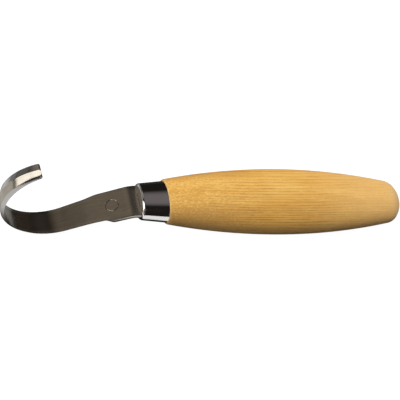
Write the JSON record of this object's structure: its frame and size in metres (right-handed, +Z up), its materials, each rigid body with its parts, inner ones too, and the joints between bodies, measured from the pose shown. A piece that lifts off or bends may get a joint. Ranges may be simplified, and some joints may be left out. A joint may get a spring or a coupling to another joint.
{
  "type": "hook knife",
  "caption": "Wood-carving hook knife: thin steel blade curled into an open hook with sharp edges on both sides, oval metal ferrule and barrel-shaped wooden handle.",
  "frame": {"origin": "on the bench surface, under the middle of the bounding box, with the knife lying on the bottom of its hook and the belly of its handle", "axes": "+X towards the butt of the handle, Y across the blade, +Z up, out of the hook's open side"},
  "size_m": [0.1692, 0.0288, 0.0402],
  "materials": {
    "blade_steel": "satin hardened steel with ground bevels",
    "ferrule_metal": "polished",
    "birch": "oiled birch",
    "resin": "set resin, out of sight"
  },
  "bodies": {
    "root": {"blade": "blade_steel", "ferrule": "ferrule_metal", "handle": "birch", "tang_adhesive": "resin"}
  },
  "joints": []
}
